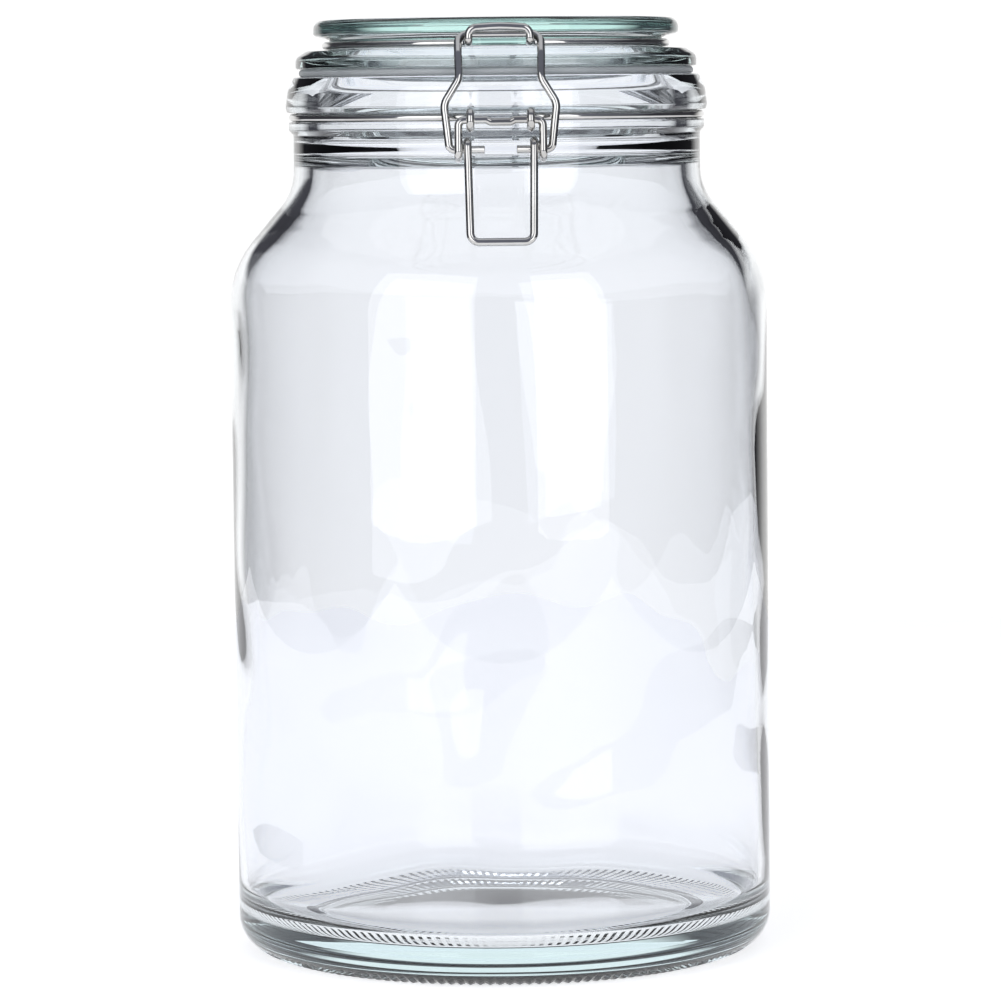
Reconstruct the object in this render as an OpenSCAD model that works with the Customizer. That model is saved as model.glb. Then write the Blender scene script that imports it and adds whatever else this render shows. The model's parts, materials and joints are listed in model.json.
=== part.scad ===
// Lidded glass canister with a wire clip closure.
// A round glass jar carries a neck wire in a groove below its rim. The glass lid and
// its seal hang on a lid wire that turns on the neck wire's rear bar. At the front a
// handle wire turns in the neck wire's two eyes and pulls a loop down over the lid.
// Origin: centre of the resting face. +Z up. Handle at -Y, hinge at +Y. Millimetres.

/* [Jar] */
// Height over the closed lid
height = 300; // [255:5:345]
// Outside diameter of the body
body_d = 173.2; // [160:0.4:208]
// Outside diameter of the neck, below the bead
neck_d = 131; // [110:1:140]
// Thickness of the side wall
wall = 3.6; // [2.6:0.1:4.6]
// Thickness of the floor at its middle
floor_t = 7; // [5:0.5:9]
// Radius of the heel between the wall and the resting face
heel_r = 12; // [9:0.5:15]
// Rise of the hollow under the base
punt_h = 4; // [2:0.5:6]
// Steepness of the shoulder, from vertical
shoulder_a = 40; // [34:1:46]
// Height of the plain neck between shoulder and bead
neck_h = 11.5; // [9:0.5:15]

/* [Lid and seal] */
// Height of the lid above the seal
lid_h = 15.6; // [14.6:0.2:18.8]
// Thickness of the seal ring
seal_t = 2.4; // [2:0.1:3.2]
// Depth of the plug that centres the lid in the mouth
plug_h = 4.5; // [3:0.5:6]

/* [Closure wires] */
// Diameter of all the closure wires
wire_d = 2.5; // [2:0.1:2.8]
// Distance from the handle's pivot to the loop's pivot
throw = 9.2; // [8.6:0.1:11]
// Length of the handle below the loop's pivot
handle_l = 28; // [22:0.5:32]
// Half width of the loop at the top
loop_x = 12.8; // [12.2:0.1:14.6]
// Radial room of a wire turning in an eye
pin_fit = 0.1; // [0.08:0.01:0.14]
// Room between parts that rest on each other
rest_gap = 0.05; // [0.03:0.01:0.1]

/* [Hidden] */
ring_fn = 96;
wire_fn = 30;
bend_fn = 24;
wr = wire_d / 2;
hair = 0.04;
joint_d = wire_d + 0.08;

// radii of the glass
body_r = body_d / 2;
neck_r = neck_d / 2;
finish_r = neck_r + 2.4;
rim_r = neck_r - 0.3;
bead_r = neck_r + 1.4;
mouth_r = neck_r - 7.5;
groove_r = neck_r - 1.15;
lid_r = neck_r - 1;
lid_top_r = lid_r - 5.8;
lid_groove_r = lid_top_r - 2.8 - wire_d;
seal_r = lid_r - 1.1;
seal_in_r = mouth_r - 0.8;

// heights of the glass
lid_z = height - lid_h;
seal_z = lid_z - rest_gap - seal_t;
rim_z = seal_z - rest_gap;
wire_z = rim_z - 11.6 - wr;
groove_h = wire_d + 0.3;
bead_z = wire_z - groove_h / 2 - 3.7;
shoulder_z = bead_z - neck_h;
rise = body_r - neck_r;
neck_arc = 0.877 * rise;
body_arc = 1.517 * rise;
slope_l = (rise - (neck_arc + body_arc) * (1 - cos(shoulder_a))) / sin(shoulder_a);
body_z = shoulder_z - (neck_arc + body_arc) * sin(shoulder_a) - slope_l * cos(shoulder_a);

// wires of the neck and the lid
ring_r = groove_r + wr + 0.05;
lid_ring_r = lid_groove_r + wr + 0.1;
lid_wire_z = lid_z + 5.9 + wr + 0.35;
bend_r = wire_d * 0.88;
eye_r = wire_d + pin_fit;
coil_r = eye_r + 0.15;
eye_x = 9.3;
lid_leg_x = 9.5;
hinge_x = 13.5;
lid_arm_x = 8.4;
hinge_y = finish_r + wr + eye_r + 1.3;
hinge_z = wire_z;

// pivots of the handle (p) and of the loop (q)
eye_ahead = 3.5;
eye_drop = 0.8;
eye_in_y = -sqrt(pow(ring_r + bend_r, 2) - pow(eye_x + bend_r, 2)) - 1.25;
p_y = eye_in_y - eye_ahead;
p_z = wire_z - eye_drop;
q_y = p_y + 1.1;
q_z = p_z - throw;
leg_x = eye_x + wire_d * 1.48;
grip_x = leg_x - wire_d - 0.3;
grip_y = -(radius_at(q_z - handle_l) + wr + 1.2);
bar_y = -(lid_top_r + wr - 0.05);
bar_z = lid_wire_z + wire_d + 0.2;
nose_y = bar_y - wire_d - 0.2;

// ---- plane curves -------------------------------------------------------

// points of an arc about c
function arc(c, r, a0, a1, n) =
    [for (i = [0:n]) c + r * [cos(a0 + (a1 - a0) * i / n), sin(a0 + (a1 - a0) * i / n)]];

// the shoulder, from the body up to the neck, moved inwards by t
function shoulder(t) = concat(
    arc([body_r - body_arc, body_z], body_arc - t, 0, shoulder_a, 7),
    arc([neck_r + neck_arc, shoulder_z], neck_arc + t, 180 + shoulder_a, 180, 6));

// outside radius of the glass at height z, between body and neck
function radius_at(z) = lookup(z, [for (p = shoulder(0)) [p[1], p[0]]]);

function unit(v) = v / norm(v);

// the same point on the other side of the middle plane
function across(p) = [-p[0], p[1], p[2]];

// ---- wire ---------------------------------------------------------------

// ball that joins two lengths of wire; each length stops a hair short of its centre
module ball(p) {
    translate(p) sphere(d = joint_d, $fn = 16);
}

// straight wire between two points
module rod(p0, p1) {
    w = unit(p1 - p0);
    a = p0 + hair * w;
    s = unit(cross(w, abs(w[2]) < 0.9 ? [0, 0, 1] : [0, 1, 0]));
    t = cross(w, s);
    multmatrix([[s[0], t[0], w[0], a[0]], [s[1], t[1], w[1], a[1]], [s[2], t[2], w[2], a[2]]])
        cylinder(h = norm(p1 - p0) - 2 * hair, d = wire_d, $fn = wire_fn);
}

// bent wire about Z: radius r, from angle a0 to a1
module turned(r, a0, a1, fn) {
    short = hair / r * 57.3;
    rotate([0, 0, a0 + short]) rotate_extrude(angle = a1 - a0 - 2 * short, $fn = fn)
        translate([r, 0]) circle(d = wire_d, $fn = wire_fn);
}

// tangent length taken by a bend of radius r at b
function lead(a, b, c, r) = r * tan((180 - acos(unit(a - b) * unit(c - b))) / 2);

// bend of radius r at b, between the lines a-b and b-c
module bend(a, b, c, r) {
    u = unit(a - b);
    v = unit(c - b);
    turn = 180 - acos(u * v);
    s = b + u * lead(a, b, c, r);
    m = b + unit(u + v) * r / cos(turn / 2);
    x = (s - m) / r;
    y = -u;
    z = cross(x, y);
    multmatrix([[x[0], y[0], z[0], m[0]], [x[1], y[1], z[1], m[1]], [x[2], y[2], z[2], m[2]]])
        turned(r, 0, turn, bend_fn);
}

// short sleeve that joins two lengths of wire at the point p, along the direction d
module sleeve(p, d) {
    translate(p) rotate([0, acos(d[2]), atan2(d[1], d[0])])
        cylinder(h = 0.3, d = joint_d, center = true, $fn = wire_fn);
}

// wire through the points p, with bend radii r at the inner ones; 0 is a mitred corner
module wire(p, r) {
    n = len(p);
    if (n > 2) for (i = [1:n - 2]) if (r[i - 1] > 0) bend(p[i - 1], p[i], p[i + 1], r[i - 1]);
    for (i = [0:n - 2]) {
        d = unit(p[i + 1] - p[i]);
        a = i == 0 ? 0 : lead(p[i - 1], p[i], p[i + 1], r[i - 1]);
        b = i == n - 2 ? 0 : lead(p[i], p[i + 1], p[i + 2], r[i]);
        from = p[i] + d * a;
        to = p[i + 1] - d * b;
        if (norm(p[i + 1] - p[i]) - a - b > 0.3) {
            rod(from, to);
            if (i > 0 && r[i - 1] > 0) sleeve(from, d);
            if (i < n - 2 && r[i] > 0) sleeve(to, d); else if (i < n - 2) ball(to);
        } else ball((from + to) / 2);
    }
}

// part of a wire eye about an axis along X, angles from +Y towards +Z
module eye(c, r, a0, a1) {
    translate(c) multmatrix([[0, 0, 1, 0], [1, 0, 0, 0], [0, 1, 0, 0]])
        turned(r, a0, a1, 40);
}

// angle and distance at which a ring of radius r turns out towards +Y at x
function exit_a(r, x) = acos((x + bend_r) / (r + bend_r));
function exit_y(r, x) = sqrt(pow(r + bend_r, 2) - pow(x + bend_r, 2));

// the bend that leads from the ring into the line at x, towards +Y
module exit_bend(r, x, z) {
    translate([x + bend_r, exit_y(r, x), z]) turned(bend_r, 180, 180 + exit_a(r, x), bend_fn);
    sleeve([x, exit_y(r, x), z], [0, 1, 0]);
    sleeve([r * cos(exit_a(r, x)), r * sin(exit_a(r, x)), z], [-sin(exit_a(r, x)), cos(exit_a(r, x)), 0]);
}

// half of a ring with a front leg at xf and a rear leg at xr
module half_ring(r, z, xf, xr) {
    translate([0, 0, z]) turned(r, -exit_a(r, xf), exit_a(r, xr), ring_fn);
    exit_bend(r, xr, z);
    mirror([0, 1, 0]) exit_bend(r, xf, z);
}

module both_sides() {
    children();
    mirror([1, 0, 0]) children();
}

// ---- glass --------------------------------------------------------------

// jar: wall, shoulder, neck and finish as one turned shape with a pushed-up base
module jar_body() {
    in_r = body_r - wall;
    in_heel = heel_r - 1;
    bear_r = body_r - heel_r;
    floor_z = punt_h + floor_t;
    neck_t = neck_r - mouth_r - 1.5;
    outside = concat(
        [[0, punt_h], [bear_r - 16, punt_h]],
        [[bear_r - 9, 0]],
        arc([bear_r, heel_r], heel_r, -90, 0, 7),
        shoulder(0),
        [[neck_r, bead_z - 0.6]],
        [[bead_r, bead_z + 1.1], [bead_r, bead_z + 2.6], [bead_r - 0.7, bead_z + 3.7]],
        [[groove_r, bead_z + 3.7], [groove_r, bead_z + 3.7 + groove_h]],
        arc([finish_r - 2.5, rim_z - 8.8], 2.5, -48, 12, 4),
        arc([rim_r - 0.8, rim_z - 0.8], 0.8, 12, 90, 3));
    inside = concat(
        arc([mouth_r + 0.8, rim_z - 0.8], 0.8, 90, 180, 3),
        [[mouth_r, wire_z - 4]],
        [[neck_r - neck_t, bead_z - 3]],
        arc([neck_r + neck_arc, shoulder_z], neck_arc + neck_t, 180, 180 + shoulder_a, 6),
        arc([body_r - body_arc, body_z], body_arc - wall, shoulder_a, 0, 7),
        arc([in_r - in_heel, floor_z + in_heel + 1], in_heel, 0, -90, 6),
        [[in_r - in_heel - 14, floor_z + 1], [0, floor_z]]);
    color("#bcd3d0") rotate_extrude($fn = ring_fn) polygon(concat(outside, inside));
}

// lid: disc with two flanges, a wire groove between them and a hollow underside
module lid() {
    plug_r = mouth_r - 1.2;
    color("#a8c9c3") rotate_extrude($fn = ring_fn) polygon(concat(
        [[0, height - 1.2], [lid_top_r - 9, height - 1.2], [lid_top_r - 8, height]],
        arc([lid_top_r - 3, height - 3], 3, 90, 0, 6),
        arc([lid_top_r - 1.2, lid_wire_z + wr + 1.9], 1.2, 0, -90, 3),
        [[lid_groove_r, lid_wire_z + wr + 0.5], [lid_groove_r, lid_z + 6]],
        arc([lid_r - 3.5, lid_z + 2.5], 3.5, 85, 0, 6),
        [[lid_r, lid_z + 0.5], [lid_r - 0.5, lid_z]],
        [[plug_r, lid_z], [plug_r - 1.8, lid_z - seal_t - plug_h + 1]],
        arc([plug_r - 3, lid_z - seal_t - plug_h + 1.2], 1.2, 0, -90, 2),
        [[plug_r - 6, lid_z - seal_t - plug_h]],
        arc([plug_r - 15.5, height - 12.5], 4, 0, 90, 4),
        [[0, height - 7.8]]));
}

// gasket: flat ring with rounded edges between the lid and the rim
module gasket() {
    h = seal_t / 2;
    color("#9aa3a6") translate([0, 0, seal_z + h]) rotate_extrude($fn = ring_fn) union() {
        translate([seal_in_r + h, -h]) square([seal_r - seal_in_r - seal_t, seal_t]);
        translate([seal_in_r + h, 0]) circle(r = h, $fn = 24);
        translate([seal_r - h, 0]) circle(r = h, $fn = 24);
    }
}

// ---- wires --------------------------------------------------------------

// neck wire: ring in the neck groove, two front eyes and the rear hinge bar
module neck_wire() {
    reach = norm([eye_ahead, eye_drop]);
    lift = asin(eye_r / reach) - atan(eye_drop / eye_ahead);
    t = sqrt(reach * reach - eye_r * eye_r);
    y0 = -exit_y(ring_r, eye_x);
    foot = [eye_x, eye_in_y, wire_z];
    touch = foot + t * [0, -cos(lift), sin(lift)];
    y1 = exit_y(ring_r, hinge_x);
    color("#c9ccce") {
        both_sides() {
            half_ring(ring_r, wire_z, eye_x, hinge_x);
            wire([[eye_x, y0, wire_z], foot, touch], [2.4]);
            sleeve(touch, [0, -cos(lift), sin(lift)]);
            eye([eye_x, p_y, p_z], eye_r, 90 - lift, 350 - lift);
        }
        wire([[hinge_x, y1, wire_z], [hinge_x, hinge_y, wire_z],
              [-hinge_x, hinge_y, wire_z], [-hinge_x, y1, wire_z]], [bend_r, bend_r]);
    }
}

// lid wire: ring in the lid groove, a raised nose in front, two hinge eyes behind
module lid_wire() {
    z = lid_wire_z;
    yf = -exit_y(lid_ring_r, lid_leg_x);
    yr = exit_y(lid_ring_r, lid_arm_x);
    shoulder = [lid_leg_x - 0.1, nose_y - 0.1, z + 4.5];
    color("#c9ccce") {
        both_sides() {
            half_ring(lid_ring_r, z, lid_leg_x, lid_arm_x);
            wire([[lid_arm_x, yr, z], [lid_arm_x, hinge_y + eye_r, z],
                  [lid_arm_x, hinge_y + eye_r, hinge_z]], [4]);
            sleeve([lid_arm_x, hinge_y + eye_r, hinge_z], [0, 0, 1]);
            eye([lid_arm_x, hinge_y, hinge_z], eye_r, 115, 360);
        }
        wire([[lid_leg_x, yf, z], [lid_leg_x, nose_y, z + 0.1], shoulder, [0, nose_y - 0.2, z + 5.1],
              across(shoulder), [-lid_leg_x, nose_y, z + 0.1], [-lid_leg_x, yf, z]],
             [1.6, 2.5, 40, 2.5, 1.6]);
    }
}

// handle: cross bar in the eyes, a one-turn coil on each side, and the grip
module handle() {
    c = coil_r;
    // the leg and the grip both run tangent to the coil's front
    leg_a = asin(c / norm([q_y - p_y, throw])) - atan((q_y - p_y) / throw);
    grip_a = atan((q_y - grip_y) / handle_l) - asin(c / norm([grip_y - q_y, handle_l]));
    crank = [0, 0, -0.28 * wire_d];
    top = [leg_x, p_y, p_z];
    low = [grip_x - 0.5, grip_y, q_z - handle_l];
    leg_end = on_coil(leg_x, 180 - leg_a);
    grip_end = on_coil(grip_x, 180 - grip_a);
    color("#c9ccce") {
        wire([leg_end, top, [4.3, p_y, p_z], [3, p_y, p_z] + crank,
              [-3, p_y, p_z] + crank, [-4.3, p_y, p_z], across(top), across(leg_end)],
             [2, 0, 0, 0, 0, 2]);
        wire([grip_end, low, across(low), across(grip_end)], [2.8, 2.8]);
        both_sides() {
            ball(leg_end);
            eye([leg_x, q_y, q_z], c, 180 - leg_a, 375);
            wire([on_coil(leg_x, 375), on_coil(grip_x, 405)], []);
            ball(on_coil(leg_x, 375));
            ball(on_coil(grip_x, 405));
            eye([grip_x, q_y, q_z], c, 405, 540 - grip_a);
            ball(grip_end);
        }
    }
}

// point at angle a on the coil about the loop's pivot
function on_coil(x, a) = [x, q_y + coil_r * cos(a), q_z + coil_r * sin(a)];

// loop: bar behind the lid wire's nose, two bowed strands, ends turned into the coils
module loop() {
    foot_x = leg_x + wr + 1.5;
    // strands stay clear of the finish and of the lid's lower flange
    y1 = -(finish_r + wr + 0.9);
    y2 = -(finish_r + 0.7);
    y3 = -(lid_r + wr - 0.85);
    half = [
        [4.9, q_y, q_z], [foot_x, q_y, q_z], [foot_x + 1.6, y1, rim_z - 8.7],
        [loop_x - 0.2, y2, rim_z - 1], [loop_x, y3, lid_z + 4.4], [loop_x, bar_y, bar_z]];
    r = [1.9, 5, 5, 6, 3.6];
    wire(concat(half, [for (i = [5:-1:0]) across(half[i])]),
         concat(r, [for (i = [4:-1:0]) r[i]]));
}

jar_body();
neck_wire();
lid();
gasket();
lid_wire();
handle();
loop();
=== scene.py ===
"""Looks of a lidded glass canister: turned glass, bent closure wires, seal and studio.

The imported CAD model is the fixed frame. Every piece takes its place from the frame's
boxes and joints, in metres, and stands for the CAD node of the same name.
"""

import json
import logging
import math
from dataclasses import dataclass, field
from enum import Enum

import bmesh
import bpy
from mathutils import Matrix, Vector, noise


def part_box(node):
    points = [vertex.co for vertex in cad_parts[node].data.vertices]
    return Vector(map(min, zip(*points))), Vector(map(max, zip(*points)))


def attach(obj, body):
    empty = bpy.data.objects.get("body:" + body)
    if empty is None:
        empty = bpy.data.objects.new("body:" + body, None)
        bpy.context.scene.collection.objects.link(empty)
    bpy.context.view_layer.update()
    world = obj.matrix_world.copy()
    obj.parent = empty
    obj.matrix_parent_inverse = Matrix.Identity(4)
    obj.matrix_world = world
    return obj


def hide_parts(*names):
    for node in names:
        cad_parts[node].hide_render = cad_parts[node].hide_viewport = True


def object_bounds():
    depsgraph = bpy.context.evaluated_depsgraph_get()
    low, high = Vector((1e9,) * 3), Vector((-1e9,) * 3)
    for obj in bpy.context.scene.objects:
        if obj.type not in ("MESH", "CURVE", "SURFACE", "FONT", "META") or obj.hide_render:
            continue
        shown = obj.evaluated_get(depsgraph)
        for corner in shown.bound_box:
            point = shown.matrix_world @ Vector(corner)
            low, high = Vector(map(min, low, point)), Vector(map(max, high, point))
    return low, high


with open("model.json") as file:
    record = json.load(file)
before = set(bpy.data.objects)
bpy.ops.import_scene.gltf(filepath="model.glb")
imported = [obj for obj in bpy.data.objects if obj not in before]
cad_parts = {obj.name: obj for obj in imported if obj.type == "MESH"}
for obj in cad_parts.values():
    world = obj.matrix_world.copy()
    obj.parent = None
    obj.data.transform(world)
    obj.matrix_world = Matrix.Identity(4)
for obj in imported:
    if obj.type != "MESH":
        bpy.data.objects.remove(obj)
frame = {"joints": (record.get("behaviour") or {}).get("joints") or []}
CAD_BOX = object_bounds()
LOG = logging.getLogger("canister")
MM = 0.001
UP = Vector((0, 0, 1))
ACROSS = Vector((1, 0, 0))
WIRE_CREASE = 60.0


class Body(Enum):
    """Bodies of the mechanism that a piece can ride on."""

    JAR = "jar"
    LID = "lid"
    HANDLE = "handle"
    LOOP = "loop"


class Slot(Enum):
    """Finish slots named in the part's record."""

    JAR_GLASS = "jar_glass"
    LID_GLASS = "lid_glass"
    WIRE = "wire"
    SEAL = "seal"


def joint_place(name: str) -> Vector:
    """Find where a joint's axis lies.

    Args:
        name: the joint's name in the record.

    Returns:
        The point on its axis, in metres.
    """
    found = [j for j in frame["joints"] if j["name"] == name]
    return Vector(found[0]["pos_m"])


# ---- finishes ----------------------------------------------------------------


@dataclass(frozen=True)
class Finish:
    """What every finish shares: its name and the helpers that wire its nodes."""

    name: str

    def start(self) -> tuple[bpy.types.Material, bpy.types.Node]:
        """Make an empty material with a principled shader.

        Returns:
            The material and its principled shader node.
        """
        material = bpy.data.materials.new(self.name)
        material.use_nodes = True
        return material, material.node_tree.nodes["Principled BSDF"]

    @staticmethod
    def mapped(material: bpy.types.Material, scale: tuple[float, float, float]) -> bpy.types.NodeSocket:
        """Give the object's own coordinates, scaled.

        Args:
            material: the material that the nodes go into.
            scale: how many times each direction is stretched.

        Returns:
            The vector socket to read a pattern from.
        """
        tree = material.node_tree
        place = tree.nodes.new("ShaderNodeTexCoord")
        mapping = tree.nodes.new("ShaderNodeMapping")
        mapping.inputs["Scale"].default_value = scale
        tree.links.new(place.outputs["Object"], mapping.inputs["Vector"])
        return mapping.outputs["Vector"]

    @staticmethod
    def cloud(
        material: bpy.types.Material, vector: bpy.types.NodeSocket, scale: float, detail: float
    ) -> bpy.types.NodeSocket:
        """Add a soft noise pattern.

        Args:
            material: the material that the node goes into.
            vector: where the pattern is read.
            scale: number of its patches in a metre.
            detail: how many finer layers it has.

        Returns:
            The socket with its value, about 0.5 at the middle.
        """
        node = material.node_tree.nodes.new("ShaderNodeTexNoise")
        node.inputs["Scale"].default_value = scale
        node.inputs["Detail"].default_value = detail
        material.node_tree.links.new(vector, node.inputs["Vector"])
        return node.outputs["Fac"]

    @staticmethod
    def ramp(
        material: bpy.types.Material,
        value: bpy.types.NodeSocket,
        stops: tuple[tuple[float, tuple[float, float, float]], ...],
    ) -> bpy.types.NodeSocket:
        """Turn a value into a colour.

        Args:
            material: the material that the node goes into.
            value: the socket that drives the colour.
            stops: places from 0 to 1, each with its colour.

        Returns:
            The colour socket.
        """
        node = material.node_tree.nodes.new("ShaderNodeValToRGB")
        elements = node.color_ramp.elements
        while len(elements) < len(stops):
            elements.new(0.5)
        for element, (place, colour) in zip(elements, stops):
            element.position = place
            element.color = (*colour, 1.0)
        material.node_tree.links.new(value, node.inputs["Fac"])
        return node.outputs["Color"]

    @staticmethod
    def spread(
        material: bpy.types.Material, value: bpy.types.NodeSocket, low: float, high: float
    ) -> bpy.types.NodeSocket:
        """Stretch a pattern's middle range to given limits.

        Args:
            material: the material that the node goes into.
            value: the pattern's socket.
            low: result where the pattern is low.
            high: result where the pattern is high.

        Returns:
            The socket with the stretched value.
        """
        node = material.node_tree.nodes.new("ShaderNodeMapRange")
        node.inputs["From Min"].default_value = 0.3
        node.inputs["From Max"].default_value = 0.7
        node.inputs["To Min"].default_value = low
        node.inputs["To Max"].default_value = high
        material.node_tree.links.new(value, node.inputs["Value"])
        return node.outputs["Result"]

    @staticmethod
    def relief(
        material: bpy.types.Material,
        heights: bpy.types.NodeSocket,
        depth: float,
        strength: float,
        under: bpy.types.NodeSocket | None = None,
    ) -> bpy.types.NodeSocket:
        """Raise a pattern as relief.

        Args:
            material: the material that the node goes into.
            heights: the pattern's socket.
            depth: height of the relief in metres.
            strength: how much of it counts, from 0 to 1.
            under: a coarser relief that it lies on.

        Returns:
            The normal socket.
        """
        node = material.node_tree.nodes.new("ShaderNodeBump")
        node.inputs["Strength"].default_value = strength
        node.inputs["Distance"].default_value = depth
        material.node_tree.links.new(heights, node.inputs["Height"])
        if under is not None:
            material.node_tree.links.new(under, node.inputs["Normal"])
        return node.outputs["Normal"]


@dataclass(frozen=True)
class PressedGlass(Finish):
    """Clear soda glass with a faint green body and the ripples of its mould."""

    tint: tuple[float, float, float] = (0.36, 0.72, 0.72)
    density: float = 3.2
    ripple: float = 0.0003
    ripple_scale: float = 16.0

    def material(self) -> bpy.types.Material:
        """Build the glass.

        Returns:
            The finished material.
        """
        material, shader = self.start()
        tree = material.node_tree
        shader.inputs["IOR"].default_value = 1.5
        shader.inputs["Transmission Weight"].default_value = 1.0
        shader.inputs["Roughness"].default_value = 0.0
        upright = self.mapped(material, (1.0, 1.0, 0.45))
        ripples = self.cloud(material, upright, self.ripple_scale, 1.0)
        seeds = self.cloud(material, self.mapped(material, (1.0, 1.0, 1.0)), 90.0, 2.0)
        coarse = self.relief(material, ripples, self.ripple, 1.0)
        fine = self.relief(material, seeds, self.ripple * 0.02, 1.0, coarse)
        tree.links.new(fine, shader.inputs["Normal"])
        colour = self.ramp(
            material, ripples, ((0.3, (0.943, 0.952, 0.978)), (0.7, (0.952, 0.96, 0.983)))
        )
        tree.links.new(colour, shader.inputs["Base Color"])
        depth = tree.nodes.new("ShaderNodeVolumeAbsorption")
        depth.inputs["Color"].default_value = (*self.tint, 1.0)
        depth.inputs["Density"].default_value = self.density
        output = tree.nodes["Material Output"]
        tree.links.new(depth.outputs["Volume"], output.inputs["Volume"])
        return material


@dataclass(frozen=True)
class BrightWire(Finish):
    """Bright nickel plating on drawn steel wire."""

    polish: tuple[float, float] = (0.04, 0.11)

    def material(self) -> bpy.types.Material:
        """Build the plating.

        Returns:
            The finished material.
        """
        material, shader = self.start()
        tree = material.node_tree
        shader.inputs["Metallic"].default_value = 1.0
        place = self.mapped(material, (1.0, 1.0, 1.0))
        cast = self.cloud(material, place, 60.0, 3.0)
        scuffs = self.cloud(material, place, 900.0, 4.0)
        colour = self.ramp(
            material, cast, ((0.3, (0.48, 0.47, 0.45)), (0.7, (0.64, 0.64, 0.63)))
        )
        tree.links.new(colour, shader.inputs["Base Color"])
        tree.links.new(
            self.spread(material, scuffs, *self.polish), shader.inputs["Roughness"]
        )
        tree.links.new(
            self.relief(material, scuffs, 0.00002, 0.6), shader.inputs["Normal"]
        )
        return material


@dataclass(frozen=True)
class ClearRubber(Finish):
    """Milky soft seal with a fine grain."""

    def material(self) -> bpy.types.Material:
        """Build the rubber.

        Returns:
            The finished material.
        """
        material, shader = self.start()
        tree = material.node_tree
        shader.inputs["IOR"].default_value = 1.42
        shader.inputs["Transmission Weight"].default_value = 0.55
        place = self.mapped(material, (1.0, 1.0, 1.0))
        haze = self.cloud(material, place, 45.0, 3.0)
        grain = self.cloud(material, place, 1400.0, 3.0)
        colour = self.ramp(
            material, haze, ((0.3, (0.66, 0.69, 0.71)), (0.7, (0.80, 0.83, 0.84)))
        )
        tree.links.new(colour, shader.inputs["Base Color"])
        tree.links.new(self.spread(material, grain, 0.35, 0.5), shader.inputs["Roughness"])
        tree.links.new(self.relief(material, grain, 0.00004, 0.5), shader.inputs["Normal"])
        return material


@dataclass(frozen=True)
class PaleFloor(Finish):
    """Matt white studio board, lit from below as well."""

    glow: float = 0.67

    def material(self) -> bpy.types.Material:
        """Build the board.

        Returns:
            The finished material.
        """
        material, shader = self.start()
        tree = material.node_tree
        shader.inputs["Roughness"].default_value = 0.7
        shader.inputs["Specular IOR Level"].default_value = 0.2
        mottle = self.cloud(material, self.mapped(material, (1.0, 1.0, 1.0)), 7.0, 3.0)
        colour = self.ramp(
            material, mottle, ((0.3, (0.93, 0.93, 0.935)), (0.7, (0.95, 0.95, 0.95)))
        )
        tree.links.new(colour, shader.inputs["Base Color"])
        tree.links.new(colour, shader.inputs["Emission Color"])
        shader.inputs["Emission Strength"].default_value = self.glow
        return material


# ---- ways of making ----------------------------------------------------------


@dataclass
class Piece:
    """A finished piece: its mesh while it is made, then its object."""

    node: str
    body: Body
    slot: Slot
    mesh: bmesh.types.BMesh = field(default_factory=bmesh.new)

    def finish(self, crease: float = 40.0) -> bpy.types.Object:
        """Turn the mesh into the object that stands for its CAD node.

        Args:
            crease: angle in degrees above which an edge stays sharp.

        Returns:
            The object, in place and riding on its body.
        """
        bmesh.ops.remove_doubles(self.mesh, verts=self.mesh.verts[:], dist=1e-7)
        bmesh.ops.recalc_face_normals(self.mesh, faces=self.mesh.faces[:])
        for face in self.mesh.faces:
            face.smooth = True
        for edge in self.mesh.edges:
            edge.smooth = edge.calc_face_angle(0.0) < math.radians(crease)
        data = bpy.data.meshes.new(self.node)
        self.mesh.to_mesh(data)
        self.mesh.free()
        piece = bpy.data.objects.new(f"{self.node}_finished", data)
        bpy.context.scene.collection.objects.link(piece)
        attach(piece, self.body.value)
        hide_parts(self.node)
        LOG.info("%s: %d faces", piece.name, len(data.polygons))
        return piece


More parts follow.
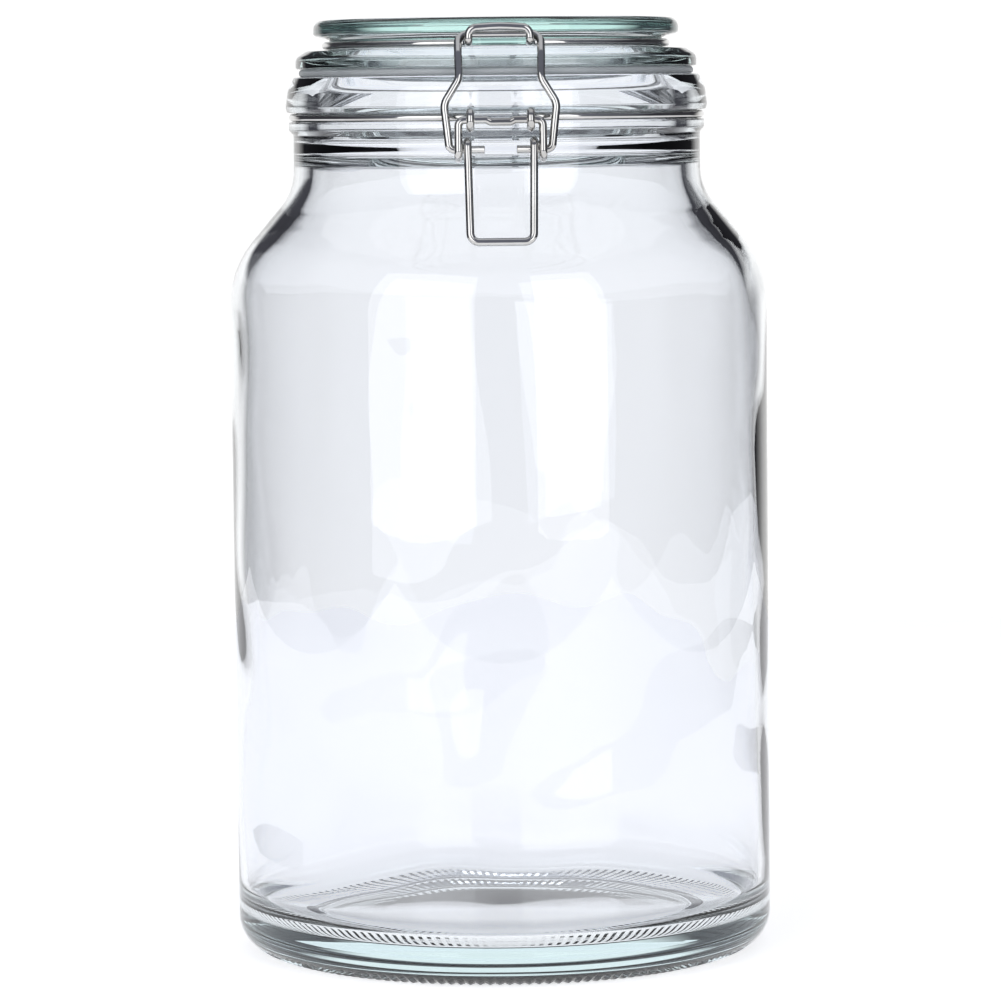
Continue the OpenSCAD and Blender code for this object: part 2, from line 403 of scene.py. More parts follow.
@dataclass
class Outline:
    """Half section of a turned piece, drawn as corners with their own rounding."""

    corners: list[tuple[float, float, float]] = field(default_factory=list)
    inner_from: int | None = None

    def inside(self) -> "Outline":
        """Count the corners that follow as the inner skin."""
        self.inner_from = len(self.corners)
        return self

    def to(self, r: float, z: float, rounding: float = 0.0) -> "Outline":
        """Add a corner at radius r and height z with a rounding, all in millimetres."""
        self.corners.append((r, z, rounding))
        return self

    def points(self, step: float = 7.0) -> list[tuple[Vector, bool]]:
        """Work out the points along the outline.

        Args:
            step: largest turn between points on a rounding, in degrees.

        Returns:
            The points in the XZ plane, in metres, each with whether it is on the inner skin.
        """
        found = []
        for i, (r, z, rounding) in enumerate(self.corners):
            here = Vector((r, 0, z)) * MM
            inner = self.inner_from is not None and i >= self.inner_from
            if rounding == 0 or i in (0, len(self.corners) - 1):
                found.append((here, inner))
                continue
            before = Vector((self.corners[i - 1][0], 0, self.corners[i - 1][1])) * MM
            after = Vector((self.corners[i + 1][0], 0, self.corners[i + 1][1])) * MM
            u = (before - here).normalized()
            v = (after - here).normalized()
            half = u.angle(v) / 2
            radius = rounding * MM
            start = here + u * (radius / math.tan(half))
            centre = here + (u + v).normalized() * (radius / math.sin(half))
            turn = math.pi - 2 * half
            axis = (start - centre).cross(-u).normalized()
            count = max(2, math.ceil(math.degrees(turn) / step))
            for k in range(count + 1):
                spun = Matrix.Rotation(turn * k / count, 3, axis) @ (start - centre)
                found.append((centre + spun, inner))
        return found

    def turn(self, mesh: bmesh.types.BMesh, steps: int, longest: float = 0.012) -> None:
        """Turn the outline about the upright axis into a closed skin.

        Args:
            mesh: the mesh that takes the skin.
            steps: number of facets round it.
            longest: longest stretch left undivided, in metres.
        """
        points = self.points()
        mark = mesh.verts.layers.int.new("inner")
        path = [mesh.verts.new(points[0][0])]
        for (a, _), (b, inner) in zip(points, points[1:]):
            pieces = max(1, math.ceil((b - a).length / longest))
            for k in range(1, pieces + 1):
                path.append(mesh.verts.new(a.lerp(b, k / pieces)))
                path[-1][mark] = int(inner)
        edges = [mesh.edges.new(pair) for pair in zip(path, path[1:]) if pair[0].co != pair[1].co]
        bmesh.ops.spin(
            mesh, geom=path + edges, cent=(0, 0, 0), axis=UP, angle=math.tau,
            steps=steps, use_merge=True,
        )
        bmesh.ops.remove_doubles(mesh, verts=mesh.verts[:], dist=1e-7)


@dataclass
class WireFormer:
    """A wire fed out straight and bent, as on a wire former's bench."""

    mesh: bmesh.types.BMesh
    radius: float
    sides: int = 20
    place: Vector = field(default_factory=Vector)
    heading: Vector = field(default_factory=lambda: Vector(UP))
    ring: list[bmesh.types.BMEdge] = field(default_factory=list)
    first: list[bmesh.types.BMEdge] = field(default_factory=list)

    def clamp(self, place: Vector, heading: Vector) -> "WireFormer":
        """Start a wire with its cut end in the clamp.

        Args:
            place: centre of the cut end, in metres.
            heading: the way that the wire runs from there.

        Returns:
            The former, ready for the first length.
        """
        self.place = place.copy()
        self.heading = heading.normalized()
        turn = self.heading.to_track_quat("Z", "X").to_matrix().to_4x4()
        made = bmesh.ops.create_circle(
            self.mesh, segments=self.sides, radius=self.radius,
            matrix=Matrix.Translation(place) @ turn,
        )
        rim = set(made["verts"])
        self.ring = [e for e in self.mesh.edges if e.verts[0] in rim and e.verts[1] in rim]
        self.first = self.ring
        return self

    def feed(self, length: float) -> "WireFormer":
        """Feed out a straight length.

        Args:
            length: how far, in metres.

        Returns:
            The former, ready for the next bend.
        """
        if length < 2e-5:
            return self
        made = bmesh.ops.extrude_edge_only(self.mesh, edges=self.ring)
        fresh = [g for g in made["geom"] if isinstance(g, bmesh.types.BMVert)]
        self.ring = [
            g for g in made["geom"]
            if isinstance(g, bmesh.types.BMEdge) and g.verts[0] in fresh and g.verts[1] in fresh
        ]
        bmesh.ops.translate(self.mesh, verts=fresh, vec=self.heading * length)
        self.place = self.place + self.heading * length
        return self

    def bend(self, centre: Vector, axis: Vector, degrees: float, step: float = 9.0) -> "WireFormer":
        """Bend the wire about an axis.

        Args:
            centre: a point on the axis.
            axis: the axis; the bend follows the right hand.
            degrees: how far it turns.
            step: largest turn of one facet, in degrees.

        Returns:
            The former, ready for the next length.
        """
        if abs(degrees) < 0.05:
            return self
        angle = math.radians(degrees)
        made = bmesh.ops.spin(
            self.mesh, geom=self.ring, cent=centre, axis=axis, angle=angle,
            steps=max(2, math.ceil(abs(degrees) / step)),
        )
        self.ring = [g for g in made["geom_last"] if isinstance(g, bmesh.types.BMEdge)]
        turn = Matrix.Rotation(angle, 3, axis)
        self.place = centre + turn @ (self.place - centre)
        self.heading = turn @ self.heading
        return self

    def along(self, points: list[Vector], roundings: list[float]) -> "WireFormer":
        """Follow corners, each rounded, from where the wire is now.

        Args:
            points: the corners, and the end as the last of them.
            roundings: bend radius at each corner but the last, in metres.

        Returns:
            The former, at the last point.
        """
        for i, (corner, rounding) in enumerate(zip(points, roundings)):
            into = (corner - self.place).normalized()
            out = (points[i + 1] - corner).normalized()
            turn = into.angle(out)
            lead = rounding * math.tan(turn / 2)
            self.heading = into
            self.feed((corner - self.place).length - lead)
            axis = into.cross(out).normalized()
            self.bend(self.place + axis.cross(into) * rounding, axis, math.degrees(turn))
        self.heading = (points[-1] - self.place).normalized()
        return self.feed((points[-1] - self.place).length)

    def cut(self, chamfer: float = 0.00025) -> None:
        """Cut the wire off and break the edge of both its ends.

        Args:
            chamfer: width of the broken edge, in metres.
        """
        ends = bmesh.ops.holes_fill(self.mesh, edges=self.ring + self.first, sides=self.sides)
        rims = {e for f in ends["faces"] for e in f.edges}
        bmesh.ops.bevel(
            self.mesh, geom=list(rims), affect="EDGES", offset=chamfer, segments=2,
            profile=0.5, material=-1,
        )

    def join(self) -> None:
        """Close the last short gap between the wire's end and its start, as a weld does."""
        bmesh.ops.bridge_loops(self.mesh, edges=self.ring + self.first)


# ---- the canister ------------------------------------------------------------


@dataclass
class Sizes:
    """Sizes that several pieces share, from the frame's boxes and joints, in metres."""

    wire: float = 2.5 * MM
    eye_gap: float = 0.1 * MM
    eye_x: float = 9.3 * MM
    hinge_x: float = 13.5 * MM
    arm_x: float = 8.4 * MM
    nose_x: float = 9.5 * MM

    def __post_init__(self) -> None:
        """Read the places that the frame fixes."""
        self.wr = self.wire / 2
        self.exit = self.wire * 0.88
        self.eye = self.wire + self.eye_gap
        self.coil = self.eye + 0.15 * MM
        self.hinge = joint_place("lid_hinge")
        self.handle_pin = joint_place("handle_pivot")
        self.loop_pin = joint_place("loop_swing")
        self.rim_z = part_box("jar_body")[1].z
        self.body_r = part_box("jar_body")[1].x
        self.lid_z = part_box("gasket")[1].z + 0.05 * MM
        self.lid_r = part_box("lid")[1].x
        self.top_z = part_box("lid")[1].z
        self.seal_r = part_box("gasket")[1].x
        self.ring_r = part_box("neck_wire")[1].x - self.wr
        self.lid_ring_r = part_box("lid_wire")[1].x - self.wr
        self.lid_wire_z = self.lid_z + 5.9 * MM + self.wr + 0.35 * MM

    def exit_angle(self, ring: float, x: float) -> float:
        """Angle in degrees at which a ring turns out into a leg at x."""
        return math.degrees(math.acos((x + self.exit) / (ring + self.exit)))

    def exit_y(self, ring: float, x: float) -> float:
        """Distance from the axis at which the leg at x starts."""
        return math.sqrt((ring + self.exit) ** 2 - (x + self.exit) ** 2)


@dataclass
class SubAssembly:
    """A part of the canister, made to the shared sizes."""

    sizes: Sizes

    def dress(self, piece: bpy.types.Object, finish: bpy.types.Material) -> None:
        """Give the built piece its finish.

        Args:
            piece: what build made.
            finish: the material that covers it.
        """
        piece.data.materials.append(finish)
        LOG.info("%s: dressed in %s", piece.name, finish.name)


@dataclass
class Jar(SubAssembly):
    """The pressed glass jar with its threadless finish and pushed-up base."""

    heel: float = 12.0
    wall: float = 3.6
    shoulder_r: tuple[float, float] = (32.0, 18.5)
    shoulder_z: tuple[float, float] = (220.5, 245.7)
    neck_r: float = 65.5
    mouth_r: float = 58.0
    facets: int = 320
    rib: float = 0.6 * MM
    rib_z: float = 4.0 * MM
    wave: float = 1.2
    foot: float = 0.8
    slump: float = 1.1
    slump_z: float = 0.234
    slump_height: float = 0.016
    blown_from: float = 0.013
    blown_to: float = 0.255
    foot_z: float = 0.12
    neck_wall: float = 6.0
    ridge: float = 2.8

    def outline(self) -> Outline:
        """Draw the half section, from under the base, up the outside and down the inside.

        Returns:
            The outline in millimetres.
        """
        s = self.sizes
        body = s.body_r / MM
        rim = s.rim_z / MM
        wire_z = s.hinge.z / MM
        neck = self.neck_r
        line = Outline()
        line.to(0, 4.2).to(40, 4.0, 20).to(body - self.heel - 14, 3.6, 6)
        line.to(body - self.heel - 9, 0.4, 1.2).to(body - self.heel - 5, 0, 4)
        line.to(body - self.heel + 2, 0, 3).to(body, 0.4, self.heel - 1)
        line.to(body, self.shoulder_z[0], self.shoulder_r[0])
        line.to(neck, self.shoulder_z[1], self.shoulder_r[1])
        line.to(neck, wire_z - 5.7, 0.7).to(neck + 1.4, wire_z - 4.1, 1.0)
        line.to(neck + 1.4, wire_z - 1.4, 0.7).to(neck - 1.15, wire_z - 1.4, 0.4)
        line.to(neck - 1.15, wire_z + 1.4, 0.4).to(neck + 1.9, wire_z + 1.5, 0.5)
        line.to(neck + 2.4, wire_z + 3.2, 1.8).to(neck + 1.6, wire_z + 9.0, 9.0)
        line.to(neck - 0.3, rim, 0.8).to(self.mouth_r, rim, 0.8)
        bore = neck - self.neck_wall
        line.inside().to(self.mouth_r, wire_z - 4, 3).to(bore, wire_z - 8, 3)
        line.to(bore - self.ridge, wire_z - 11.6, 2).to(bore, wire_z - 15.6, 1.5)
        line.to(bore, self.shoulder_z[1] - 2.2, self.shoulder_r[1] + self.neck_wall)
        line.to(body - self.wall, self.shoulder_z[0] - 1.3, self.shoulder_r[0] - self.wall)
        line.to(body - self.wall, 12, self.heel - 1).to(body - 28, 11.8, 8).to(0, 10.6)
        return line

    def blow(self, mesh: bmesh.types.BMesh) -> None:
        """Let the inner wall run uneven, heavier at the foot and on one shoulder.

        Args:
            mesh: the turned jar.
        """
        mark = mesh.verts.layers.int["inner"]
        for vert in mesh.verts:
            if not vert[mark] or not self.blown_from < vert.co.z < self.blown_to:
                continue
            r = math.hypot(vert.co.x, vert.co.y)
            z = vert.co.z
            fade = min(1.0, (self.blown_to - z) / 0.04, (z - self.blown_from) / 0.05)
            heavy = 1.0 + self.foot * max(0.0, 1.0 - z / self.foot_z)
            way = Vector((vert.co.x / r * 1.2, vert.co.y / r * 1.2, z * 13.0))
            swell = 0.45 + noise.noise(way) + 0.4 * noise.noise(way * 2.4 + Vector((5, 3, 1)))
            height = (z - self.slump_z) / self.slump_height
            slump = self.slump * max(0.0, vert.co.x / r) ** 3 * math.exp(-(height ** 2))
            move = (self.wave * heavy * swell + slump) * MM * fade
            vert.co.x -= vert.co.x / r * move
            vert.co.y -= vert.co.y / r * move

    def knurl(self, mesh: bmesh.types.BMesh) -> None:
        """Press short radial ribs into the ring that the jar stands on.

        Args:
            mesh: the turned jar.
        """
        low = self.sizes.body_r - (self.heel + 9) * MM
        high = self.sizes.body_r - 3.5 * MM
        for vert in mesh.verts:
            r = math.hypot(vert.co.x, vert.co.y)
            if low < r < high and vert.co.z < self.rib_z:
                turn = math.atan2(vert.co.y, vert.co.x) / math.tau * self.facets
                if round(turn) % 2:
                    vert.co.z += self.rib
                    vert.co.x *= 1 - self.rib / r * 0.5
                    vert.co.y *= 1 - self.rib / r * 0.5

    def build(self) -> bpy.types.Object:
        """Make the jar.

        Returns:
            The piece, before it is dressed.
        """
        piece = Piece("jar_body", Body.JAR, Slot.JAR_GLASS)
        self.outline().turn(piece.mesh, self.facets, 0.0065)
        self.blow(piece.mesh)
        self.knurl(piece.mesh)
        return piece.finish()


@dataclass
class Lid(SubAssembly):
    """The pressed glass lid: two flanges, the wire's groove and a hollow underside."""

    mouth_r: float = 58.0
    facets: int = 240

    def outline(self) -> Outline:
        """Draw the half section from the middle of the top round to the underside.

        Returns:
            The outline in millimetres.
        """
        s = self.sizes
        top = s.top_z / MM
        low = s.lid_z / MM
        lid = s.lid_r / MM
        rim = lid - 5.8
        groove = s.lid_ring_r / MM - s.wr / MM - 0.1
        wire_z = s.lid_wire_z / MM
        plug = self.mouth_r - 1.2
        line = Outline()
        line.to(0, top - 1.2).to(rim - 9.5, top - 1.2, 2).to(rim - 7.5, top, 2)
        line.to(rim, top, 3).to(rim, wire_z + 3.2, 1.2).to(groove, wire_z + 1.7, 0.6)
        line.to(groove, low + 6.1, 0.8).to(lid - 3.5, low + 5.8, 2)
        line.to(lid, low + 3.6, 2.4).to(lid, low, 0.6).to(plug, low, 0.8)
        line.to(plug - 1.9, low - 6.9, 1.4).to(plug - 7, low - 6.9, 1.6)
        line.to(plug - 11.5, top - 8.6, 4).to(0, top - 7.8)
        return line

    def build(self) -> bpy.types.Object:
        """Make the lid.

        Returns:
            The piece, before it is dressed.
        """
        piece = Piece("lid", Body.LID, Slot.LID_GLASS)
        self.outline().turn(piece.mesh, self.facets, 0.006)
        return piece.finish()


@dataclass
class Seal(SubAssembly):
    """The soft ring between the lid and the rim."""

    mouth_r: float = 58.0
    facets: int = 200

    def build(self) -> bpy.types.Object:
        """Make the seal.

        Returns:
            The piece, before it is dressed.
        """
        low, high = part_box("gasket")
        inner = self.mouth_r - 0.8
        outer = self.sizes.seal_r / MM
        z0, z1 = low.z / MM, high.z / MM
        piece = Piece("gasket", Body.LID, Slot.SEAL)
        line = Outline().to(inner + 2, z0).to(outer, z0, 1.1).to(outer, z1, 1.1)
        line.to(inner + 2.6, z1, 0.3).to(inner + 2.3, z1 - 0.25, 0.3).to(inner + 2.0, z1, 0.3)
        line.to(inner, z1, 1.1).to(inner, z0, 1.1).to(inner + 2, z0)
        line.turn(piece.mesh, self.facets)
        return piece.finish()


@dataclass
class NeckWire(SubAssembly):
    """The wire in the jar's groove, with the handle's eyes and the rear hinge bar."""

    def build(self) -> bpy.types.Object:
        """Bend the wire, from the right eye round behind to the left eye.

        Returns:
            The piece, before it is dressed.
        """
        s = self.sizes
        pin, z = s.handle_pin, s.hinge.z
        front, rear = s.exit_y(s.ring_r, s.eye_x), s.exit_y(s.ring_r, s.hinge_x)
        foot_y = -front - 1.25 * MM
        drop = math.degrees(math.atan((z - pin.z) / (foot_y - pin.y)))
        reach = math.hypot(foot_y - pin.y, z - pin.z)
        lift = math.degrees(math.asin(s.eye / reach)) - drop
        touch = math.sqrt(reach ** 2 - s.eye ** 2)
        piece = Piece("neck_wire", Body.JAR, Slot.WIRE)
        former = WireFormer(piece.mesh, s.wr)
        slope = Vector((0, math.cos(math.radians(lift)), -math.sin(math.radians(lift))))
        around = 260.0
        eye = Vector((s.eye_x, pin.y, pin.z))
        start = Matrix.Rotation(math.radians(around), 3, ACROSS)
        foot = Vector((s.eye_x, foot_y, z))
        arrive = foot - slope * touch
        former.clamp(eye + start @ (arrive - eye), start @ slope)
        former.bend(eye, ACROSS, -around)
        former.along([foot, Vector((s.eye_x, -front, z))], [2.4 * MM])
        self.half_ring(former, s.eye_x, s.hinge_x, z)
        former.along(
            [Vector((s.hinge_x, s.hinge.y, z)), Vector((-s.hinge_x, s.hinge.y, z)),
             Vector((-s.hinge_x, rear, z))],
            [s.exit, s.exit],
        )
        self.half_ring(former, s.hinge_x, s.eye_x, z, back=False)
        left = Vector((-s.eye_x, foot_y, z))
        former.along([left, left - slope * touch], [2.4 * MM])
        former.bend(Vector((-s.eye_x, pin.y, pin.z)), ACROSS, around)
        former.cut()
        return piece.finish(WIRE_CREASE)

    def half_ring(self, former: WireFormer, x0: float, x1: float, z: float, back: bool = True) -> None:
        """Bend half of the ring with the turn-out at each of its ends.

        Args:
            former: the wire so far.
            x0: where the leg that it comes from stands.
            x1: where the leg that it goes to stands.
            z: height of the ring.
            back: True on the right, where the wire runs to the back.
        """
        s = self.sizes
        side = 1.0 if back else -1.0
        a0, a1 = s.exit_angle(s.ring_r, x0), s.exit_angle(s.ring_r, x1)
        y0 = -side * s.exit_y(s.ring_r, x0)
        y1 = side * s.exit_y(s.ring_r, x1)
        former.bend(Vector((side * (x0 + s.exit), y0, z)), -UP, a0)
        former.bend(Vector((0, 0, z)), UP, a0 + a1, 2.5)
        former.bend(Vector((side * (x1 + s.exit), y1, z)), -UP, a1)


@dataclass
class LidWire(SubAssembly):
    """The wire in the lid's groove, with the raised nose and the two hinge eyes."""

    def build(self) -> bpy.types.Object:
        """Bend the wire, from the right hinge eye round the lid to the left one.

        Returns:
            The piece, before it is dressed.
        """
        s = self.sizes
        z, ring = s.lid_wire_z, s.lid_ring_r
        front, rear = s.exit_y(ring, s.nose_x), s.exit_y(ring, s.arm_x)
        nose_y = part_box("lid_wire")[0].y + s.wr + 0.2 * MM
        piece = Piece("lid_wire", Body.LID, Slot.WIRE)
        former = WireFormer(piece.mesh, s.wr)
        around = 245.0
        eye = Vector((s.arm_x, s.hinge.y, s.hinge.z))
        arm_y = s.hinge.y + s.eye
        arrive = Vector((s.arm_x, arm_y, s.hinge.z))
        start = Matrix.Rotation(math.radians(-around), 3, ACROSS)
        former.clamp(eye + start @ (arrive - eye), start @ UP)
        former.bend(eye, ACROSS, around)
        former.along([Vector((s.arm_x, arm_y, z)), Vector((s.arm_x, rear, z))], [4 * MM])
        self.half_ring(former, s.arm_x, s.nose_x, True)
        tip = Vector((s.nose_x - 0.1 * MM, nose_y - 0.1 * MM, z + 4.5 * MM))
        top = Vector((0, nose_y - 0.2 * MM, z + 5.1 * MM))
        knee = Vector((s.nose_x, nose_y, z + 0.1 * MM))
        mirror = Vector((-1, 1, 1))
        former.along(
            [knee, tip, top, tip * mirror, knee * mirror, Vector((-s.nose_x, -front, z))],
            [1.6 * MM, 2.5 * MM, 40 * MM, 2.5 * MM, 1.6 * MM],
        )
        self.half_ring(former, s.nose_x, s.arm_x, False)
        former.along([Vector((-s.arm_x, arm_y, z)), Vector((-s.arm_x, arm_y, s.hinge.z))], [4 * MM])
        former.bend(Vector((-s.arm_x, s.hinge.y, s.hinge.z)), ACROSS, -around)
        former.cut()
        return piece.finish(WIRE_CREASE)

    def half_ring(self, former: WireFormer, x0: float, x1: float, right: bool) -> None:
        """Bend half of the ring, clockwise seen from above on both sides.

        Args:
            former: the wire so far.
            x0: where the leg that it comes from stands.
            x1: where the leg that it goes to stands.
            right: True for the half on the right, which runs to the front.
        """
        s = self.sizes
        side = 1.0 if right else -1.0
        z, ring = s.lid_wire_z, s.lid_ring_r
        a0, a1 = s.exit_angle(ring, x0), s.exit_angle(ring, x1)
        former.bend(Vector((side * (x0 + s.exit), side * s.exit_y(ring, x0), z)), UP, a0)
        former.bend(Vector((0, 0, z)), -UP, a0 + a1, 2.5)
        former.bend(Vector((side * (x1 + s.exit), -side * s.exit_y(ring, x1), z)), UP, a1)


@dataclass
class Handle(SubAssembly):
    """The lever: cross bar in the eyes, a one-turn coil on each side, and the grip."""

    corner: float = 2.8 * MM
    leave: float = 62.0
    arrive: float = -2.0
    step_bend: float = 1.3 * MM
    step_lead: float = 0.85 * MM

    def build(self) -> bpy.types.Object:
        """Bend the wire, from the middle of the grip round and back to it.

        Returns:
            The piece, before it is dressed.
        """
        s = self.sizes
        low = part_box("handle")[0]
        pin, loop = s.handle_pin, s.loop_pin
        leg_x = s.eye_x + s.wire * 1.48
        grip_x = leg_x - s.wire - 0.3 * MM
        grip_y, grip_z = low.y + s.wr, low.z + s.wr
        down, out = pin - loop, loop - Vector((0, grip_y, grip_z))
        leg_a = math.degrees(math.asin(s.coil / down.length) - math.atan2(-down.y, down.z))
        grip_a = math.degrees(math.atan2(out.y, out.z) - math.asin(s.coil / out.length))
        piece = Piece("handle", Body.HANDLE, Slot.WIRE)
        former = WireFormer(piece.mesh, s.wr)
        mirror = Vector((-1, 1, 1))
        end = Vector((grip_x - 0.5 * MM, grip_y, grip_z))
        grip_end = self.on_coil(grip_x, 180 - grip_a)
        leg_end = self.on_coil(leg_x, 180 - leg_a)
        top = Vector((leg_x, pin.y, pin.z))
        crank = Vector((0, 0, -0.28 * s.wire))
        knee = Vector((4.3 * MM, pin.y, pin.z))
        dip = Vector((3.0 * MM, pin.y, pin.z)) + crank
        former.clamp(Vector((0, grip_y, grip_z)), ACROSS)
        former.along([end, grip_end], [self.corner])
        self.wind(former, grip_x, 180 - grip_a, self.leave)
        self.step_over(former, leg_x, self.leave, self.arrive)
        self.wind(former, leg_x, self.arrive, -180 - leg_a)
        former.along(
            [top, knee, dip, dip * mirror, knee * mirror, top * mirror, leg_end * mirror],
            [2 * MM, 1 * MM, 1 * MM, 1 * MM, 1 * MM, 2 * MM],
        )
        self.wind(former, -leg_x, -180 - leg_a, self.arrive)
        self.step_over(former, -grip_x, self.arrive, self.leave)
        self.wind(former, -grip_x, self.leave, 180 - grip_a)
        former.along([end * mirror, Vector((-0.4 * MM, grip_y, grip_z))], [self.corner])
        former.join()
        return piece.finish(WIRE_CREASE)

    def on_coil(self, x: float, degrees: float) -> Vector:
        """Find a point on a coil's centre line.

        Args:
            x: where the turn lies across the canister.
            degrees: angle from the back towards the top.

        Returns:
            The point, in metres.
        """
        s = self.sizes
        a = math.radians(degrees)
        return Vector((x, s.loop_pin.y + s.coil * math.cos(a), s.loop_pin.z + s.coil * math.sin(a)))

    def step_over(self, former: WireFormer, x: float, a0: float, a1: float) -> None:
        """Step the wire sideways from one turn of a coil to the next.

        Args:
            former: the wire so far, at angle a0 of its turn.
            x: where the next turn lies.
            a0: angle in degrees at which it leaves its turn.
            a1: angle in degrees at which it meets the next turn.
        """
        way = 1.0 if a1 > a0 else -1.0
        start, end = former.place.copy(), self.on_coil(x, a1)
        centre = Vector((0, self.sizes.loop_pin.y, self.sizes.loop_pin.z))
        lead = self.step_lead * way
        out = ACROSS.cross(start - centre).normalized() * lead
        back = ACROSS.cross(end - centre).normalized() * lead
        former.along([start + out, end - back, end], [self.step_bend, self.step_bend])

    def wind(self, former: WireFormer, x: float, a0: float, a1: float) -> None:
        """Wind one turn of a coil.

        Args:
            former: the wire so far.
            x: where the turn lies across the canister.
            a0: angle in degrees that it starts from.
            a1: angle in degrees that it ends at.
        """
        centre = Vector((x, self.sizes.loop_pin.y, self.sizes.loop_pin.z))
        way = 1.0 if a1 > a0 else -1.0
        former.heading = ACROSS.cross(former.place - centre).normalized() * way
        former.bend(centre, ACROSS, a1 - a0)


@dataclass
class Loop(SubAssembly):
    """The bail: bar behind the lid wire's nose and two bowed strands."""

    top_x: float = 12.8 * MM
    foot: float = 1.9 * MM
    shoulder: float = 3.6 * MM
    finish_r: float = 67.9 * MM

    def build(self) -> bpy.types.Object:
        """Bend the wire, from the right end inside its coil to the left one.

        Returns:
            The piece, before it is dressed.
        """
        s = self.sizes
        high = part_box("loop")[1]
        pin = s.loop_pin
        foot_x = s.eye_x + s.wire * 1.48 + s.wr + 1.5 * MM
        bar_y, bar_z = high.y - s.wr, high.z - s.wr
        half = [
            Vector((foot_x, pin.y, pin.z)),
            Vector((foot_x + 1.6 * MM, -(self.finish_r + s.wr + 0.9 * MM), s.rim_z - 8.7 * MM)),
            Vector((self.top_x - 0.2 * MM, -(self.finish_r + 0.7 * MM), s.rim_z - 1 * MM)),
            Vector((self.top_x, -(s.lid_r + s.wr - 0.85 * MM), s.lid_z + 4.4 * MM)),
            Vector((self.top_x, bar_y, bar_z)),
        ]
        mirror = Vector((-1, 1, 1))
        end = Vector((4.9 * MM, pin.y, pin.z))
        roundings = [self.foot, 5 * MM, 5 * MM, 6 * MM, self.shoulder]
        piece = Piece("loop", Body.LOOP, Slot.WIRE)
        former = WireFormer(piece.mesh, s.wr).clamp(end, ACROSS)
        back = [p * mirror for p in reversed(half)]
        former.along(half + back + [end * mirror], roundings + roundings[::-1])
        former.cut()
        return piece.finish(WIRE_CREASE)


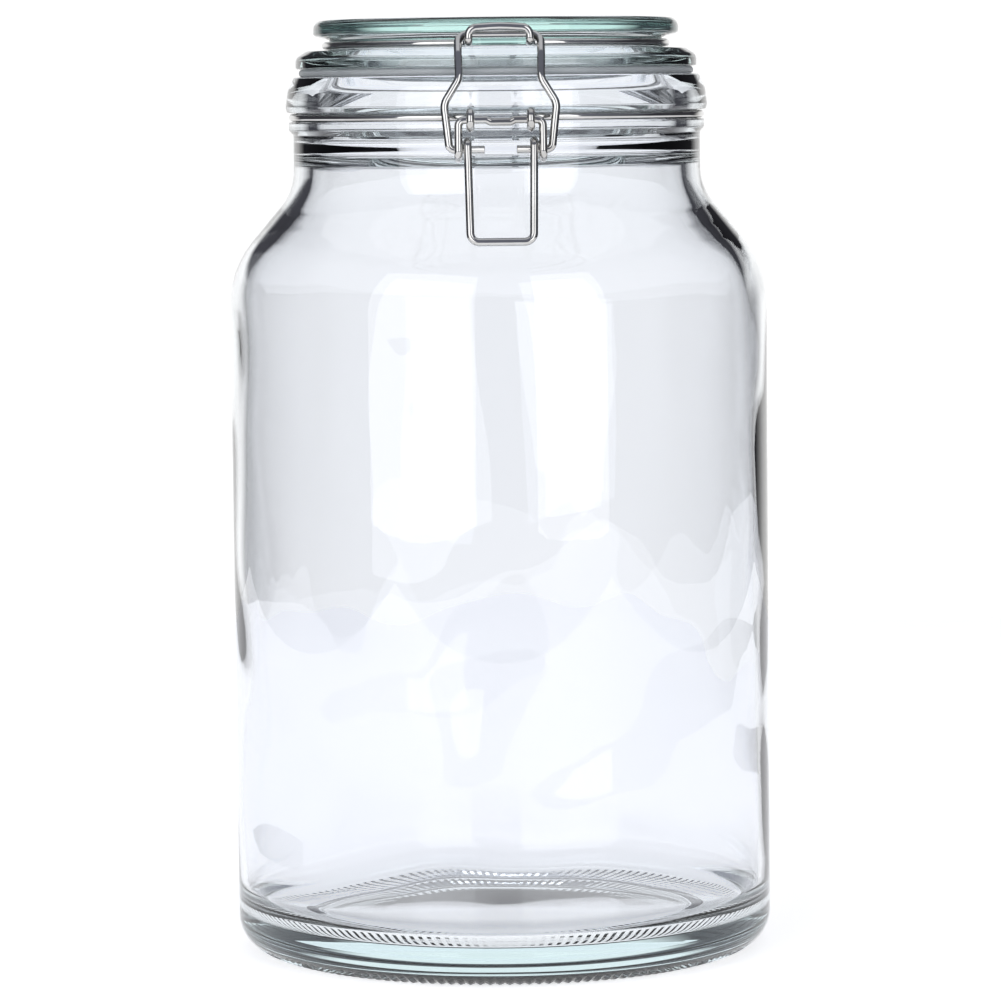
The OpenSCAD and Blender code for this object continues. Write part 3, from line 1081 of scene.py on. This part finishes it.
@dataclass
class Studio:
    """Floor, soft lights, surroundings and camera."""

    distance: float = 1.5
    camera_z: float = 0.2788
    lens: float = 166.9
    pitch: float = 5.115
    roll: float = 0.603
    orbit: float = 1.0

    def set_floor(self, material: bpy.types.Material) -> None:
        """Lay the pale board that the canister stands on.

        Args:
            material: the board's finish.
        """
        mesh = bmesh.new()
        bmesh.ops.create_grid(mesh, x_segments=8, y_segments=8, size=0.9)
        data = bpy.data.meshes.new("floor")
        mesh.to_mesh(data)
        mesh.free()
        data.materials.append(material)
        floor = bpy.data.objects.new("floor", data)
        floor.location = (0, 0.0, CAD_BOX[0][2] - 0.0001)
        bpy.context.scene.collection.objects.link(floor)

    def set_panel(self, name: str, place: Vector, size: tuple[float, float], watts: float) -> None:
        """Hang a soft rectangular light that faces the canister.

        Args:
            name: the light's name.
            place: where its middle hangs.
            size: its width and height.
            watts: its power.
        """
        lamp = bpy.data.lights.new(name, "AREA")
        lamp.shape = "RECTANGLE"
        lamp.size, lamp.size_y = size
        lamp.energy = watts
        panel = bpy.data.objects.new(name, lamp)
        aim = Vector((0, 0, place.z if place.z < 1.0 else 0.0)) - place
        panel.rotation_euler = aim.to_track_quat("-Z", "Y").to_euler()
        panel.location = place
        bpy.context.scene.collection.objects.link(panel)

    def set_surroundings(self) -> None:
        """Surround the stage: bright behind, dark at the sides, softly grey in front."""
        world = bpy.data.worlds.new("studio")
        world.use_nodes = True
        bpy.context.scene.world = world
        tree = world.node_tree
        place = tree.nodes.new("ShaderNodeTexCoord")
        split = tree.nodes.new("ShaderNodeSeparateXYZ")
        ramp = tree.nodes.new("ShaderNodeValToRGB")
        shift = tree.nodes.new("ShaderNodeMapRange")
        shift.inputs["From Min"].default_value = -1.0
        shift.inputs["From Max"].default_value = 1.0
        tree.links.new(place.outputs["Generated"], split.inputs["Vector"])
        tree.links.new(split.outputs["Y"], shift.inputs["Value"])
        above = tree.nodes.new("ShaderNodeMapRange")
        above.inputs["From Min"].default_value = 0.12
        above.inputs["To Max"].default_value = 0.5
        tree.links.new(split.outputs["Z"], above.inputs["Value"])
        level = tree.nodes.new("ShaderNodeMath")
        level.operation = "SUBTRACT"
        tree.links.new(shift.outputs["Result"], level.inputs[0])
        tree.links.new(above.outputs["Result"], level.inputs[1])
        tree.links.new(level.outputs["Value"], ramp.inputs["Fac"])
        stops = (
            (0.0, (0.20, 0.21, 0.26)), (0.3, (0.16, 0.17, 0.20)), (0.5, (0.05, 0.05, 0.06)),
            (0.89, (0.06, 0.06, 0.07)), (0.945, (1.06, 1.06, 1.06)),
        )
        elements = ramp.color_ramp.elements
        while len(elements) < len(stops):
            elements.new(0.5)
        for element, (at, colour) in zip(elements, stops):
            element.position = at
            element.color = (*colour, 1.0)
        tree.links.new(ramp.outputs["Color"], tree.nodes["Background"].inputs["Color"])

    def set_camera(self) -> None:
        """Stand the camera in front, a little above the neck."""
        data = bpy.data.cameras.new("camera")
        data.lens = self.lens
        data.sensor_width = 36.0
        data.clip_end = 50.0
        camera = bpy.data.objects.new("camera", data)
        turn = math.radians(self.orbit)
        spot = Vector((-math.sin(turn) * self.distance, -math.cos(turn) * self.distance, self.camera_z))
        stand = Matrix.Translation(spot) @ Matrix.Rotation(-turn, 4, "Z")
        tilt = Matrix.Rotation(math.radians(90 - self.pitch), 4, "X")
        camera.matrix_world = stand @ tilt @ Matrix.Rotation(math.radians(-self.roll), 4, "Z")
        bpy.context.scene.collection.objects.link(camera)
        bpy.context.scene.camera = camera

    def build(self, floor: bpy.types.Material) -> None:
        """Set up the whole studio.

        Args:
            floor: the board's finish.
        """
        self.set_floor(floor)
        self.set_surroundings()
        self.set_panel("overhead", Vector((0, 0.4, 1.9)), (2.4, 2.4), 10.0)
        self.set_panel("left_box", Vector((-0.83, -1.25, 0.75)), (1.25, 1.5), 11.0)
        self.set_panel("right_box", Vector((0.73, -1.31, 0.75)), (0.82, 1.5), 7.4)
        self.set_camera()
        bpy.context.scene.view_settings.view_transform = "Standard"


def main() -> None:
    """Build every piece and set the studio."""
    logging.basicConfig(level=logging.INFO, format="%(name)s: %(message)s")
    sizes = Sizes()
    jar_glass = PressedGlass("jar_glass").material()
    lid_glass = PressedGlass(
        "lid_glass", tint=(0.34, 0.84, 0.74), density=7.0, ripple=0.00012, ripple_scale=22.0
    ).material()
    plating = BrightWire("bright_wire").material()
    rubber = ClearRubber("clear_rubber").material()
    made = (
        (Jar(sizes), jar_glass), (Lid(sizes), lid_glass), (Seal(sizes), rubber),
        (NeckWire(sizes), plating), (LidWire(sizes), plating),
        (Handle(sizes), plating), (Loop(sizes), plating),
    )
    for part, finish in made:
        part.dress(part.build(), finish)
    Studio().build(PaleFloor("pale_board").material())


if __name__ == "__main__":
    main()
